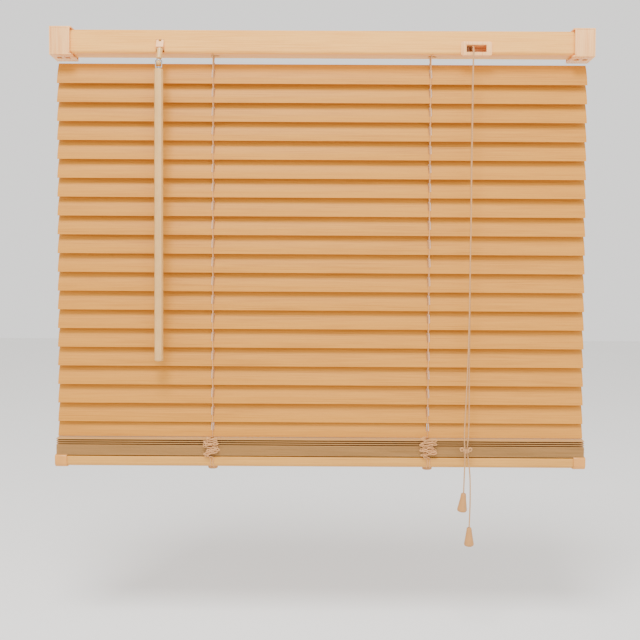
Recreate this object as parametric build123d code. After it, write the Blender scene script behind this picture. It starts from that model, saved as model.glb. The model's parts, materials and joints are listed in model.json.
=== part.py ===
"""Venetian blind, 25 mm wood-effect slats, in box brackets, hung closed and part raised.

Millimetres, +Z up, X along the slats, -Y towards the room. The origin is the centre of the
four wall screws, on the brackets' back plane.
"""

from build123d import *
import math
import os

# ---- overall ----
blind_width = 600.0
bracket_width = 24.0
bracket_wall = 1.5
bracket_rib = 1.3
bracket_rib_width = 2.0
bracket_rib_inset = 4.0
window_depth = 8.0
window_width = 5.6
window_spacing = 9.1
gate_rim = 1.6
gate_rim_height = 0.6
hinge_pin_r = 0.55
hinge_clearance = 0.15
through = 1.0

# ---- mounting screws ----
screw_hole_r = 2.25
wall_screw_spacing_z = 14.0
top_screw_spacing_y = 14.0

# ---- headrail ----
headrail_depth = 25.0
headrail_height = 25.0
headrail_wall = 0.7
headrail_corner_r = 3.0
headrail_lip = 4.0
headrail_front_gap = 1.5
headrail_back_gap = 2.5
headrail_top_gap = 1.7
end_cap_plate = 1.5
end_cap_plug = 4.0
end_cap_gap = 0.5
end_cap_fit = 0.1
lift_slot_length = 10.0
lift_slot_width = 5.0
lift_slot_offset = 2.0
string_hole_d = 3.0

# ---- slats ----
slat_end_gap = 5.0
slat_width = 25.0
slat_thickness = 0.5
slat_crown = 1.2
slat_pitch = 21.0
first_slat_drop = 19.4
last_slat_rise = 4.5
hanging_slats = 20
fixed_slats = 4
rest_tilt = 70.0
slat_slot_length = 12.0
slat_slot_width = 3.2

# ---- bottom rail and the slats that lie on it ----
tight_slats = 11
loose_slats = 3
tight_spacing = 1.05
loose_spacing = 2.3
stack_gap = 0.4
stack_seat_gap = 0.1
rail_height = 12.0
rail_crown = 1.0
rail_wall = 1.4
rail_lower_r = 4.0
rail_upper_r = 1.2
rail_cap_length = 12.0
rail_cap_wall = 1.3
plug_length = 11.0
plug_width = 10.0
plug_head = 4.2
plug_stem_r = 3.2
plug_edge_r = 1.8
plug_stem_height = 4.0
plug_cord_rise = 1.5
plug_fit = 0.1
rail_cap_fit = 0.05
rail_cord_hole_r = 2.0

# ---- cords ----
ladder_x = 121.0
cord_d = 1.4
string_d = 0.8
string_out = 2.0
string_rail_gap = 1.0
cord_end_gap = 0.25
cord_bend_r = 4.2
cord_floor_gap = 0.3
cord_entry_run = 11.0
cord_side_step = 2.5

# ---- tilt mechanism ----
rod_flats = 5.0
rod_z = 0.0
rod_end_gap = 10.0
hex_clearance = 0.05
drum_r = 8.5
drum_width = 7.0
drum_flange = 1.0
drum_hub_r = 4.0
drum_hub_length = 16.0
cradle_plate = 1.5
cradle_top = 4.5
cradle_fit = 0.15
drum_end_gap = 1.0
drum_tip_gap = 0.5
cord_tunnel_half = 4.5
cord_tunnel_over = 1.6
running_clearance = 0.08
gear_teeth = 16
gear_pitch_r = 6.0
gear_root_r = 5.0
gear_tip_r = 6.4
gear_width = 3.0
gear_gap = 0.5
gear_hub_length = 9.0
tooth_tip = 0.7
tooth_root = 1.04
tooth_sink = 0.3
worm_core_r = 2.0
worm_tip_r = 3.3
worm_pitch_r = 2.6
worm_turns = 4
worm_thread_tip = 0.5
worm_thread_root = 0.8
worm_end = 0.8
worm_gap = 0.3
worm_lean = 25.0
worm_shaft_r = 2.6
tilter_x = -178.5
snout_width = 8.8
snout_depth = 6.6
snout_edge_r = 0.8
snout_start = 1.6
snout_end = 13.0
snout_wall_gap = 0.2
snout_hole_gap = 0.3
case_width = 14.0
case_back = 8.5
case_fit = 0.2
case_roof_gap = 0.4
link_gap = 0.6
weld = 0.1
link_top_r = 3.4
link_end_r = 2.8
link_length = 13.6
link_edge_r = 0.8
link_neck_r = 0.8
ball_reach = 32.4
ball_r = 2.6
hook_wire_r = 0.6
hook_ring_r = 3.3
hook_ring_height = 2.0
hook_foot_r = 2.2
hook_foot_rise = 1.6
wand_flats = 9.2
wand_length = 320.0
wand_drop = 6.6
wand_bore_r = 1.6
wand_bore_depth = 9.0
wand_pin_gap = 1.0
wand_top_chamfer = 0.8
wand_foot_chamfer = 1.0

# ---- cord lock and pull cords ----
lock_x = 170.0
bezel_width = 34.0
bezel_height = 15.0
bezel_thickness = 1.2
bezel_drop = 1.5
bezel_corner_r = 2.0
lip_recess = 0.4
lip_depth = 5.0
mouth_width = 22.0
mouth_height = 8.0
lock_wall = 1.5
lock_depth = 17.0
lock_inset = 2.0
lock_fit = 0.2
roller_r = 3.0
roller_pin_r = 1.0
roller_offset = 7.9
roller_setback = 9.0
roller_end_gap = 0.2
upper_cord_rise = 2.5
lower_cord_rise = 0.3
cord_runout = 13.0
cord_gap = 0.2
tassel_height = 21.0
tassel_top_r = 2.6
tassel_bottom_r = 5.5
tassel_top_edge_r = 0.8
tassel_foot_edge_r = 2.4
tassel_lean = 5.0

# ---- places worked out from the sizes above ----
half_width = blind_width / 2
bracket_depth = headrail_depth + headrail_front_gap + headrail_back_gap + 2 * bracket_wall
bracket_height = headrail_height + bracket_rib + headrail_top_gap + 2 * bracket_wall
slat_length = blind_width - 2 * slat_end_gap
inner_floor = -bracket_height / 2 + bracket_wall
headrail_bottom = inner_floor + bracket_rib
headrail_top = headrail_bottom + headrail_height
headrail_z = (headrail_bottom + headrail_top) / 2
headrail_front = -bracket_depth + bracket_wall + headrail_front_gap
headrail_back = headrail_front + headrail_depth
slat_y = (headrail_front + headrail_back) / 2
headrail_floor = headrail_bottom + headrail_wall
headrail_half = half_width - bracket_wall - end_cap_gap - end_cap_plate
hole_x = half_width - bracket_width / 2
tilt = math.radians(rest_tilt)
slat_reach = slat_width / 2 * math.sin(tilt) + slat_thickness
slat_edge = slat_width / 2 + string_out
last_slat_z = headrail_bottom - first_slat_drop - (hanging_slats - 1) * slat_pitch + last_slat_rise
stack_lift = rail_cap_wall + stack_seat_gap
stack_rise = (tight_slats - 1) * tight_spacing + loose_slats * loose_spacing
stack_height = stack_lift + stack_rise + (slat_crown + slat_thickness) / 2
rail_top = last_slat_z - slat_reach - stack_gap - stack_height
rail_bottom = rail_top - rail_height
worm_centres = gear_pitch_r + worm_pitch_r
worm_pitch = 2 * math.pi * gear_pitch_r / gear_teeth
cord_rise_z = headrail_floor + cord_d / 2 + cord_floor_gap
roller_centre_x = lock_x - roller_offset
roller_y = headrail_front + roller_setback


def slat_z(number):
    """Height of a hanging slat's axis. The last slat sits up on the stack."""
    rise = last_slat_rise if number == hanging_slats else 0
    return headrail_bottom - first_slat_drop - (number - 1) * slat_pitch + rise


def block(x, y, z):
    """Box between the low and high ends of x, y and z."""
    spans = [max(pair) - min(pair) for pair in (x, y, z)]
    centre = [(pair[0] + pair[1]) / 2 for pair in (x, y, z)]
    return Pos(*centre) * Box(*spans)


def x_cylinder(radius, x, y, z):
    """Cylinder along X between the two ends of x."""
    return Pos((x[0] + x[1]) / 2, y, z) * Rot(0, 90, 0) * Cylinder(radius, abs(x[1] - x[0]))


def y_cylinder(radius, x, y, z):
    """Cylinder along Y between the two ends of y."""
    return Pos(x, (y[0] + y[1]) / 2, z) * Rot(90, 0, 0) * Cylinder(radius, abs(y[1] - y[0]))


def z_cylinder(radius, x, y, z):
    """Cylinder along Z between the two ends of z."""
    return Pos(x, y, (z[0] + z[1]) / 2) * Cylinder(radius, abs(z[1] - z[0]))


def along_x(face, length):
    """Solid of a profile drawn in the YZ plane, half its length each side of X = 0."""
    return extrude(Plane.YZ * face, length / 2, both=True)


def mirrored(shape):
    """The shape and its mirror image across the middle of the blind."""
    return [shape, mirror(shape, about=Plane.YZ)]


# ---- brackets and their gates ----
def wall_bracket():
    """Left box bracket: back, top, bottom and outer side, open to the front and the middle."""
    outer_x = -half_width
    inner_x = outer_x + bracket_width
    half_height = bracket_height / 2
    front = -bracket_depth
    shell = block((outer_x, inner_x), (front, 0), (-half_height, half_height))
    shell -= block(
        (outer_x + bracket_wall, inner_x + through),
        (front - through, -bracket_wall),
        (-half_height + bracket_wall, half_height - bracket_wall),
    )
    gate_hinge = (front + bracket_wall / 2, -half_height + bracket_wall / 2)
    shell -= block(
        (outer_x + bracket_wall, inner_x - bracket_wall),
        (front - through, gate_hinge[0] + 2 * hinge_pin_r),
        (-half_height - through, -half_height + 2 * bracket_wall),
    )
    shell -= x_cylinder(
        hinge_pin_r + hinge_clearance,
        (outer_x + bracket_wall / 3, inner_x - bracket_wall / 3),
        *gate_hinge,
    )
    for rib_y in (headrail_back - bracket_rib_inset, headrail_front + bracket_rib_inset):
        shell += block(
            (outer_x + bracket_wall, inner_x),
            (rib_y - bracket_rib_width / 2, rib_y + bracket_rib_width / 2),
            (inner_floor, headrail_bottom),
        )
    for window_x in (-hole_x - window_spacing / 2, -hole_x + window_spacing / 2):
        shell -= block(
            (window_x - window_width / 2, window_x + window_width / 2),
            (slat_y - window_depth / 2, slat_y + window_depth / 2),
            (-half_height - through, inner_floor),
        )
    for offset in (-wall_screw_spacing_z / 2, wall_screw_spacing_z / 2):
        shell -= y_cylinder(screw_hole_r, -hole_x, (-bracket_wall - through, through), offset)
    for offset in (-top_screw_spacing_y / 2, top_screw_spacing_y / 2):
        shell -= z_cylinder(
            screw_hole_r,
            -hole_x,
            -bracket_depth / 2 + offset,
            (half_height - bracket_wall - through, half_height + through),
        )
    return shell


def gate():
    """Left bracket's front gate: a plate on two pins at its rounded lower edge."""
    low_x = -half_width + bracket_wall + hinge_clearance
    high_x = -half_width + bracket_width - bracket_wall - hinge_clearance
    hinge_y = -bracket_depth + bracket_wall / 2
    hinge_z = -bracket_height / 2 + bracket_wall / 2
    top_z = bracket_height / 2 - bracket_wall - hinge_clearance
    plate = block(
        (low_x, high_x),
        (-bracket_depth, -bracket_depth + bracket_wall),
        (hinge_z, top_z),
    )
    plate += x_cylinder(bracket_wall / 2, (low_x, high_x), hinge_y, hinge_z)
    plate += x_cylinder(
        hinge_pin_r,
        (low_x - bracket_wall / 2, high_x + bracket_wall / 2),
        hinge_y,
        hinge_z,
    )
    plate += block(
        (high_x - gate_rim, high_x),
        (-bracket_depth - gate_rim_height, -bracket_depth),
        (hinge_z + bracket_wall, top_z),
    )
    return plate


# ---- headrail ----
def channel_face(inset):
    """The headrail's outline, moved inwards, with its two lower corners rounded."""
    face = Rectangle(headrail_depth - 2 * inset, headrail_height - 2 * inset)
    lower = face.vertices().sort_by(Axis.Y)[:2]
    return fillet(lower, radius=headrail_corner_r - inset)


def headrail():
    """Roll-formed channel, open at the top between two inward lips."""
    profile = channel_face(0) - channel_face(headrail_wall)
    opening = Rectangle(headrail_depth - 2 * headrail_lip, 4 * headrail_wall)
    profile -= Pos(0, headrail_height / 2) * opening
    rail = Pos(0, slat_y, headrail_z) * along_x(profile, 2 * headrail_half)
    for side in (-1, 1):
        centre = side * ladder_x
        rail -= floor_slot(centre + lift_slot_offset, slat_y, lift_slot_length, lift_slot_width)
        rail -= floor_slot(centre, slat_y - drum_r, string_hole_d, string_hole_d)
        rail -= floor_slot(centre, slat_y + drum_r, string_hole_d, string_hole_d)
    rail -= snout(snout_hole_gap, snout_start - 2 * snout_hole_gap, ball_reach)
    rail -= lock_body(lock_fit, headrail_front - through)
    return rail


def floor_slot(x, y, length, width):
    """A rounded hole through the headrail's floor, to take away."""
    centre = Pos(x, y, headrail_bottom + headrail_wall / 2)
    if length > width:
        return centre * extrude(SlotOverall(length, width), headrail_wall, both=True)
    return centre * Cylinder(width / 2, 2 * headrail_wall)


def end_cap():
    """Left end cap of the headrail: an outer plate and a plug that fits in the channel."""
    plate_x = -headrail_half - end_cap_plate / 2
    plate = Pos(plate_x, slat_y, headrail_z) * along_x(channel_face(0), end_cap_plate)
    plug_x = -headrail_half + end_cap_plug / 2
    plug_face = channel_face(headrail_wall + end_cap_fit)
    return plate + Pos(plug_x, slat_y, headrail_z) * along_x(plug_face, end_cap_plug)


# ---- slats ----
def flat_slat():
    """One crowned slat lying flat about the origin, with a slot for each lift cord."""
    half = slat_width / 2
    low = -slat_crown / 2
    high = slat_crown / 2
    skin = slat_thickness / 2
    top = ThreePointArc((-half, low + skin), (0, high + skin), (half, low + skin))
    under = ThreePointArc((half, low - skin), (0, high - skin), (-half, low - skin))
    front = Line((-half, low - skin), (-half, low + skin))
    back = Line((half, low + skin), (half, low - skin))
    slat = along_x(make_face([top, back, under, front]), slat_length)
    slot = Rot(0, 0, 90) * SlotOverall(slat_slot_length, slat_slot_width)
    for side in (-1, 1):
        slat -= Pos(side * ladder_x, 0, 0) * extrude(slot, slat_crown + through, both=True)
    return slat


def hanging_slat(number):
    """A slat at its height, tilted shut with its front edge down."""
    return Pos(0, slat_y, slat_z(number)) * Rot(rest_tilt, 0, 0) * flat_slat()


def stacked_slats():
    """The spare slats, lying flat on the bottom rail's end caps."""
    slats = []
    height = rail_top + stack_lift
    for number in range(tight_slats + loose_slats):
        slats.append(Pos(0, slat_y, height) * flat_slat())
        height += tight_spacing if number < tight_slats - 1 else loose_spacing
    return slats


# ---- bottom rail ----
def rail_face(grow):
    """The bottom rail's outline about its top centre, made larger all round by grow."""
    half = slat_width / 2 + grow
    top = grow
    bottom = -rail_height - grow
    arc = ThreePointArc((-half, top - rail_crown), (0, top), (half, top - rail_crown))
    right = Line((half, top - rail_crown), (half, bottom))
    under = Line((half, bottom), (-half, bottom))
    left = Line((-half, bottom), (-half, top - rail_crown))
    face = make_face([arc, right, under, left])
    corners = face.vertices().sort_by(Axis.Y)
    face = fillet(corners[:2], radius=rail_lower_r + grow)
    corners = face.vertices().sort_by(Axis.Y)
    return fillet(corners[-2:], radius=rail_upper_r + grow if grow > 0 else rail_upper_r)


def bottom_rail():
    """Hollow extruded rail, with a cord hole in its top and a plug hole in its floor."""
    hollow = Pos(0, -rail_height / 2) * RectangleRounded(
        slat_width - 2 * rail_wall,
        rail_height - 2 * rail_wall - rail_crown,
        rail_lower_r - rail_wall,
    )
    rail = along_x(rail_face(0) - hollow, slat_length)
    for side in (-1, 1):
        rail -= z_cylinder(rail_cord_hole_r, side * ladder_x, 0, (-rail_height / 2, through))
        stem_hole = (-rail_height - through, -rail_height / 2)
        rail -= z_cylinder(plug_stem_r + plug_fit, side * ladder_x, 0, stem_hole)
    return Pos(0, slat_y, rail_top) * rail


def rail_cap():
    """Left sleeve cap over the bottom rail's end."""
    end_x = -slat_length / 2
    sleeve = Pos(end_x + (rail_cap_length - rail_cap_wall) / 2, 0, 0) * along_x(
        rail_face(rail_cap_wall), rail_cap_length + rail_cap_wall
    )
    sleeve -= Pos(end_x + rail_cap_length, 0, 0) * along_x(
        rail_face(rail_cap_fit), 2 * rail_cap_length
    )
    return Pos(0, slat_y, rail_top) * sleeve


def cord_plug(side):
    """Oval button under the rail, its stem inside, and the lift cord's end that it holds."""
    button = extrude(SlotOverall(plug_length, plug_width), -plug_head)
    stem = Pos(0, 0, plug_stem_height / 2) * Cylinder(plug_stem_r, plug_stem_height)
    button = fillet(button.edges().group_by(Axis.Z)[0], radius=plug_edge_r)
    plug = Pos(side * ladder_x, slat_y, rail_bottom) * (button + stem)
    cord = z_cylinder(
        cord_d / 2,
        side * ladder_x,
        slat_y,
        (rail_bottom + plug_stem_height, last_slat_z + plug_cord_rise),
    )
    return [plug, cord]


# ---- tilt rod, drums and cradles ----
def hexagon_along_x(flats, x):
    """Hexagonal bar along X between the two ends of x, on the tilt rod's axis."""
    face = RegularPolygon(flats / 2, 6, major_radius=False)
    bar = along_x(face, abs(x[1] - x[0]))
    return Pos((x[0] + x[1]) / 2, slat_y, rod_z) * bar


def tilt_rod():
    """Hexagonal rod from the tilter to the right drum."""
    return hexagon_along_x(rod_flats, (tilter_x - rod_end_gap, ladder_x + rod_end_gap))


def ladder_drum(side):
    """Spool that winds the ladder's front string up as it lets its rear string down."""
    x = side * ladder_x
    half = drum_width / 2
    drum = x_cylinder(drum_r - string_d / 2, (x - half, x + half), slat_y, rod_z)
    for end in (-1, 1):
        flange = (x + end * half, x + end * (half + drum_flange))
        drum += x_cylinder(drum_r + drum_flange, flange, slat_y, rod_z)
    hub = (x - drum_hub_length / 2, x + drum_hub_length / 2)
    drum += x_cylinder(drum_hub_r, hub, slat_y, rod_z)
    return drum - hexagon_along_x(rod_flats + 2 * hex_clearance, (hub[0] - through, hub[1] + through))


def drum_cradle(side):
    """Open-topped cradle on the headrail's floor, with a tunnel for the lift cords."""
    x = side * ladder_x
    inner = drum_width / 2 + drum_flange + drum_end_gap
    outer = inner + cradle_plate
    fit = headrail_wall + cradle_fit
    ends = (x - outer - through, x + outer + through)
    cradle = block(
        (x - outer, x + outer),
        (headrail_front + fit, headrail_back - fit),
        (headrail_floor + headrail_corner_r, rod_z + cradle_top),
    )
    cradle += block(
        (x - outer, x + outer),
        (headrail_front + headrail_corner_r, headrail_back - headrail_corner_r),
        (headrail_floor, headrail_floor + headrail_corner_r),
    )
    reach = drum_r + drum_flange + drum_tip_gap
    full_height = (headrail_bottom, headrail_top)
    cradle -= block((x - inner, x + inner), (slat_y - reach, slat_y + reach), full_height)
    tunnel_y = (slat_y - cord_tunnel_half, slat_y + cord_tunnel_half)
    cradle -= block(ends, tunnel_y, (headrail_bottom, cord_rise_z + cord_tunnel_over))
    bearing_r = drum_hub_r + running_clearance
    cradle -= x_cylinder(bearing_r, ends, slat_y, rod_z)
    slot_y = (slat_y - bearing_r, slat_y + bearing_r)
    return cradle - block(ends, slot_y, (rod_z, headrail_top))


# ---- tilter ----
def worm_plane():
    """Plane at the worm's middle: Z down and forwards along the worm, X towards the rod."""
    lean = math.radians(worm_lean)
    outwards = Vector(0, -math.cos(lean), math.sin(lean))
    centre = Vector(tilter_x, slat_y, rod_z) + outwards * worm_centres
    axis = Vector(0, -math.sin(lean), -math.cos(lean))
    return Plane(origin=centre, x_dir=-outwards, z_dir=axis)


def worm_part(radius, start, end, end_radius=None):
    """Cylinder, or cone, on the worm's axis between two distances from its middle."""
    middle = worm_plane().location * Pos(0, 0, (start + end) / 2)
    if end_radius is None:
        return middle * Cylinder(radius, end - start)
    return middle * Cone(radius, end_radius, end - start)


def snout(grow, start, end):
    """Rounded oblong bar on the worm's axis, larger all round by grow."""
    face = RectangleRounded(snout_depth + 2 * grow, snout_width + 2 * grow, snout_edge_r)
    return worm_plane().location * Pos(0, 0, start) * extrude(face, end - start)


def worm_thread():
    """Right-hand thread round the worm's core."""
    length = worm_turns * worm_pitch
    helix = Helix(pitch=worm_pitch, height=length, radius=worm_core_r)
    start = Plane(origin=helix @ 0, x_dir=(1, 0, 0), z_dir=helix % 0)
    depth = worm_tip_r - worm_core_r
    root = worm_thread_root / 2
    tip = worm_thread_tip / 2
    outline = Polyline(
        (-tooth_sink, -root), (depth, -tip), (depth, tip), (-tooth_sink, root), close=True
    )
    thread = sweep(start * make_face(outline), path=helix, is_frenet=True)
    return worm_plane().location * Pos(0, 0, -length / 2) * thread


def tilter_worm():
    """Worm, its shaft, and the tapered link that carries the wand on a ball."""
    half = worm_turns * worm_pitch / 2 + worm_end
    link_start = snout_end + link_gap
    link_stop = link_start + link_length
    worm = worm_part(worm_core_r, -half, half + weld)
    worm += worm_thread()
    worm += worm_part(worm_shaft_r, half, link_start + weld)
    link = worm_part(link_top_r, link_start, link_stop, link_end_r)
    worm += fillet(link.edges().filter_by(GeomType.CIRCLE), radius=link_edge_r)
    worm += worm_part(link_neck_r, link_stop - weld, ball_reach)
    return worm + worm_plane().location * Pos(0, 0, ball_reach) * Sphere(ball_r)


def tilter_gear():
    """Worm wheel on the tilt rod, with a gap between teeth facing the worm."""
    gear = x_cylinder(gear_root_r, (-gear_width / 2, gear_width / 2), 0, 0)
    tooth_face = Polyline(
        (gear_root_r - tooth_sink, -tooth_root / 2),
        (gear_tip_r, -tooth_tip / 2),
        (gear_tip_r, tooth_tip / 2),
        (gear_root_r - tooth_sink, tooth_root / 2),
        close=True,
    )
    tooth = along_x(make_face(tooth_face), gear_width)
    step = 360 / gear_teeth
    for number in range(gear_teeth):
        gear += Rot(180 - worm_lean + (number + 0.5) * step, 0, 0) * tooth
    gear += x_cylinder(drum_hub_r, (-gear_hub_length / 2, gear_hub_length / 2), 0, 0)
    gear = Pos(tilter_x, slat_y, rod_z) * gear
    bore = (tilter_x - gear_hub_length, tilter_x + gear_hub_length)
    return gear - hexagon_along_x(rod_flats + 2 * hex_clearance, bore)


def tilter_case():
    """Case round the worm and wheel, with the snout that comes out of the headrail's corner."""
    fit = headrail_wall + case_fit
    half = case_width / 2
    case = block(
        (tilter_x - half, tilter_x + half),
        (headrail_front + fit, slat_y + case_back),
        (headrail_floor + headrail_corner_r, headrail_top - headrail_wall - case_roof_gap),
    )
    case += snout(0, snout_start, snout_end)
    worm_half = worm_turns * worm_pitch / 2 + worm_end + worm_gap
    case -= worm_part(worm_tip_r + worm_gap, -worm_half, worm_half)
    case -= worm_part(worm_shaft_r + snout_wall_gap, worm_half - weld, snout_end + through)
    case -= worm_part(link_top_r + link_gap, snout_end, ball_reach)
    gear_half = gear_width / 2 + gear_gap
    case -= x_cylinder(
        gear_tip_r + gear_gap, (tilter_x - gear_half, tilter_x + gear_half), slat_y, rod_z
    )
    bearing_r = drum_hub_r + running_clearance
    return case - x_cylinder(
        bearing_r, (tilter_x - half - through, tilter_x + half + through), slat_y, rod_z
    )


def ball_centre():
    """Middle of the ball that the wand hangs on."""
    return worm_plane().from_local_coords(Vector(0, 0, ball_reach))


def wand_hook():
    """Wire ring over the ball, with two arms down to a pin that the wand turns on."""
    ball = ball_centre()
    ring_place = worm_plane().location * Pos(0, 0, ball_reach - hook_ring_height)
    hook = ring_place * Torus(hook_ring_r, hook_wire_r)
    yoke_z = ball.Z - wand_drop + hook_foot_rise
    foot = Vector(ball.X, ball.Y, yoke_z)
    for side in (-1, 1):
        across = Vector(side * hook_ring_r, 0, 0)
        hook += straight_wire(ring_place.position + across, foot + across)
        hook += Pos(*(foot + across)) * Sphere(hook_wire_r)
    hook += straight_wire(foot - across, foot + across)
    hook += Pos(*foot) * Cylinder(hook_foot_r, 2 * hook_wire_r)
    pin = (ball.Z - wand_drop - wand_bore_depth + wand_pin_gap, yoke_z)
    return hook + z_cylinder(wand_bore_r - running_clearance, ball.X, ball.Y, pin)


def straight_wire(start, end):
    """Straight piece of the hook's wire between two points."""
    place = Plane(origin=start, z_dir=end - start)
    return extrude(place * Circle(hook_wire_r), (end - start).length)


def wand():
    """Eight-sided wand with a bore in its top for the hook's pin."""
    ball = ball_centre()
    top = ball.Z - wand_drop
    face = RegularPolygon(wand_flats / 2, 8, major_radius=False)
    bar = Pos(ball.X, ball.Y, top - wand_length) * extrude(face, wand_length)
    bar = chamfer(bar.faces().sort_by(Axis.Z)[0].edges(), length=wand_foot_chamfer)
    bar = chamfer(bar.faces().sort_by(Axis.Z)[-1].edges(), length=wand_top_chamfer)
    return bar - z_cylinder(wand_bore_r, ball.X, ball.Y, (top - wand_bore_depth, top + through))


# ---- cord lock ----
def lock_body(grow, front):
    """Outer block of the cord lock inside the headrail, larger all round by grow."""
    half = bezel_width / 2 - lock_inset
    return block(
        (lock_x - half - grow, lock_x + half + grow),
        (front, headrail_front + lock_depth),
        (headrail_floor, headrail_floor + mouth_height + 2 * lock_wall + grow),
    )


def cord_lock_case():
    """Cord lock: housing, roller pin, and the bezel with the mouth the cords come out of."""
    half = bezel_width / 2
    inner_half = half - lock_inset - lock_wall
    mouth_low = headrail_floor + lock_wall
    mouth = (mouth_low, mouth_low + mouth_height)
    bezel_low = headrail_bottom - bezel_drop
    bezel_front = headrail_front - bezel_thickness
    bezel = block(
        (lock_x - half, lock_x + half),
        (bezel_front, headrail_front),
        (bezel_low, bezel_low + bezel_height),
    )
    bezel = fillet(bezel.edges().filter_by(Axis.Y), radius=bezel_corner_r)
    case = bezel + lock_body(0, headrail_front)
    case += block(
        (lock_x - inner_half - through, lock_x + inner_half + through),
        (bezel_front + lip_recess, headrail_front + lip_depth),
        (bezel_low, headrail_bottom),
    )
    case -= block(
        (lock_x - inner_half, lock_x + inner_half),
        (headrail_front, headrail_front + lock_depth - lock_wall),
        mouth,
    )
    case -= block(
        (lock_x - mouth_width / 2, lock_x + mouth_width / 2),
        (bezel_front - through, headrail_front + weld),
        mouth,
    )
    for entry_z in cord_levels():
        case -= x_cylinder(
            cord_d / 2 + cord_gap,
            (lock_x - half, roller_centre_x),
            roller_y + roller_r + cord_d / 2 + cord_gap,
            entry_z,
        )
    return case + z_cylinder(roller_pin_r, roller_centre_x, roller_y, mouth)


def cord_levels():
    """Heights of the two lift cords where they go round the roller."""
    middle = headrail_floor + lock_wall + mouth_height / 2
    return (middle + upper_cord_rise, middle + lower_cord_rise)


def cord_lock_roller():
    """Roller that the two lift cords turn round."""
    low = headrail_floor + lock_wall + roller_end_gap
    span = (low, low + mouth_height - 2 * roller_end_gap)
    roller = z_cylinder(roller_r, roller_centre_x, roller_y, span)
    bore_r = roller_pin_r + running_clearance
    return roller - z_cylinder(bore_r, roller_centre_x, roller_y, (span[0] - through, span[1] + through))


# ---- cords ----
def turn(points, index):
    """Turn of a route at one of its inner points, in degrees."""
    into = Vector(*points[index]) - Vector(*points[index - 1])
    out = Vector(*points[index + 1]) - Vector(*points[index])
    return into.get_angle(out)


def bend_radii(points):
    """Largest arc that each corner's two runs allow: 0.45 of the shorter one."""
    radii = []
    for index in range(1, len(points) - 1):
        shorter = min(math.dist(points[index], points[index + step]) for step in (-1, 1))
        half_turn = math.radians(turn(points, index)) / 2
        radii.append(0.45 * shorter / math.tan(half_turn))
    return radii


def cord_tube(points, diameter, radii):
    """Round tube along straight runs joined by tangent arcs."""
    path = FilletPolyline(*points, radius=radii)
    section = Plane(origin=path @ 0, z_dir=path % 0) * Circle(diameter / 2)
    return sweep(section, path=path)


def vertical_cord(x, y, low, high, diameter=cord_d):
    """Straight upright length of cord."""
    return z_cylinder(diameter / 2, x, y, (low, high))


def lift_cord_lengths(number):
    """The two lengths of lift cord that pass through one slat."""
    low = slat_z(number) - slat_pitch / 2 + cord_end_gap
    high = slat_z(number) + slat_pitch / 2 - cord_end_gap
    if number == hanging_slats - 1:
        low = last_slat_z + plug_cord_rise + cord_end_gap
    return [vertical_cord(side * ladder_x, slat_y, low, high) for side in (-1, 1)]


def lift_cord_runs():
    """Lift cords from the fixed slats up into the headrail and along it, round the roller."""
    low = slat_z(fixed_slats) - slat_pitch / 2 + cord_end_gap
    round_y = roller_y + roller_r + cord_d / 2 + cord_gap
    exit_x = roller_centre_x + roller_r + cord_d / 2 + cord_gap
    exit_y = pull_cord_short_route[0][1]
    high_level, low_level = cord_levels()
    bend = cord_bend_r
    last = roller_r + cord_d / 2 + cord_gap
    left = [
        (-ladder_x, slat_y, low),
        (-ladder_x, slat_y, cord_rise_z),
        (-ladder_x + 1.6 * cord_entry_run, slat_y - cord_side_step, cord_rise_z),
        (ladder_x + cord_entry_run, slat_y - cord_side_step, cord_rise_z),
        (roller_centre_x - cord_runout, round_y, high_level),
        (exit_x, round_y, high_level),
        (exit_x, exit_y, high_level),
    ]
    right = [
        (ladder_x, slat_y, low),
        (ladder_x, slat_y, cord_rise_z),
        (ladder_x + cord_entry_run, slat_y + cord_gap, cord_rise_z),
        (roller_centre_x - cord_runout, round_y, low_level),
        (exit_x, round_y, low_level),
        (exit_x, exit_y, low_level),
    ]
    left_tube = cord_tube(left, cord_d, [bend, 2 * bend, 2 * bend, 2 * bend, last])
    right_tube = cord_tube(right, cord_d, [bend, 2 * bend, 2 * bend, last])
    return [left_tube, right_tube]


def ladder_strings(front):
    """The two strings along one edge of the hanging slats."""
    edge = -slat_edge if front else slat_edge
    y = edge * math.cos(tilt) + slat_crown / 2 * math.sin(tilt)
    z = edge * math.sin(tilt) - slat_crown / 2 * math.cos(tilt)
    high = headrail_bottom - string_rail_gap
    low = last_slat_z + z
    return [
        vertical_cord(side * ladder_x, slat_y + y, low, high, string_d) for side in (-1, 1)
    ]


# Routes of the two free pull cords, from the roller out of the cord lock and down.
pull_cord_short_route = [
    (166.0, -20.5, -4.0),
    (166.0, -28.5, -4.0),
    (165.9, -35.0, -6.4),
    (165.6, -39.2, -12.6),
    (165.2, -40.1, -24.5),
    (164.8, -39.7, -45.0),
    (165.0, -39.4, -84.0),
    (164.4, -39.7, -136.0),
    (164.6, -39.5, -190.0),
    (163.9, -39.7, -248.0),
    (163.7, -39.4, -306.0),
    (162.4, -39.7, -362.0),
    (160.3, -39.5, -410.0),
    (159.3, -39.6, -436.0),
    (160.2, -39.8, -449.0),
    (160.5, -39.5, -460.0),
    (159.7, -39.7, -479.0),
    (159.3, -39.5, -497.5),
]
pull_cord_long_route = [
    (166.0, -20.5, -6.2),
    (166.0, -27.5, -6.2),
    (165.8, -33.2, -8.3),
    (165.5, -36.7, -13.6),
    (165.2, -37.6, -24.0),
    (164.6, -37.3, -43.0),
    (164.9, -37.1, -80.0),
    (164.3, -37.3, -134.0),
    (164.7, -37.1, -192.0),
    (164.3, -37.3, -250.0),
    (164.6, -37.1, -308.0),
    (164.3, -37.3, -364.0),
    (165.0, -37.2, -412.0),
    (164.2, -37.4, -436.0),
    (162.9, -37.1, -449.0),
    (164.6, -37.0, -461.0),
    (166.6, -36.9, -476.0),
    (167.1, -36.7, -496.5),
    (167.0, -36.8, -517.0),
    (166.2, -36.7, -536.5),
]


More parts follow.
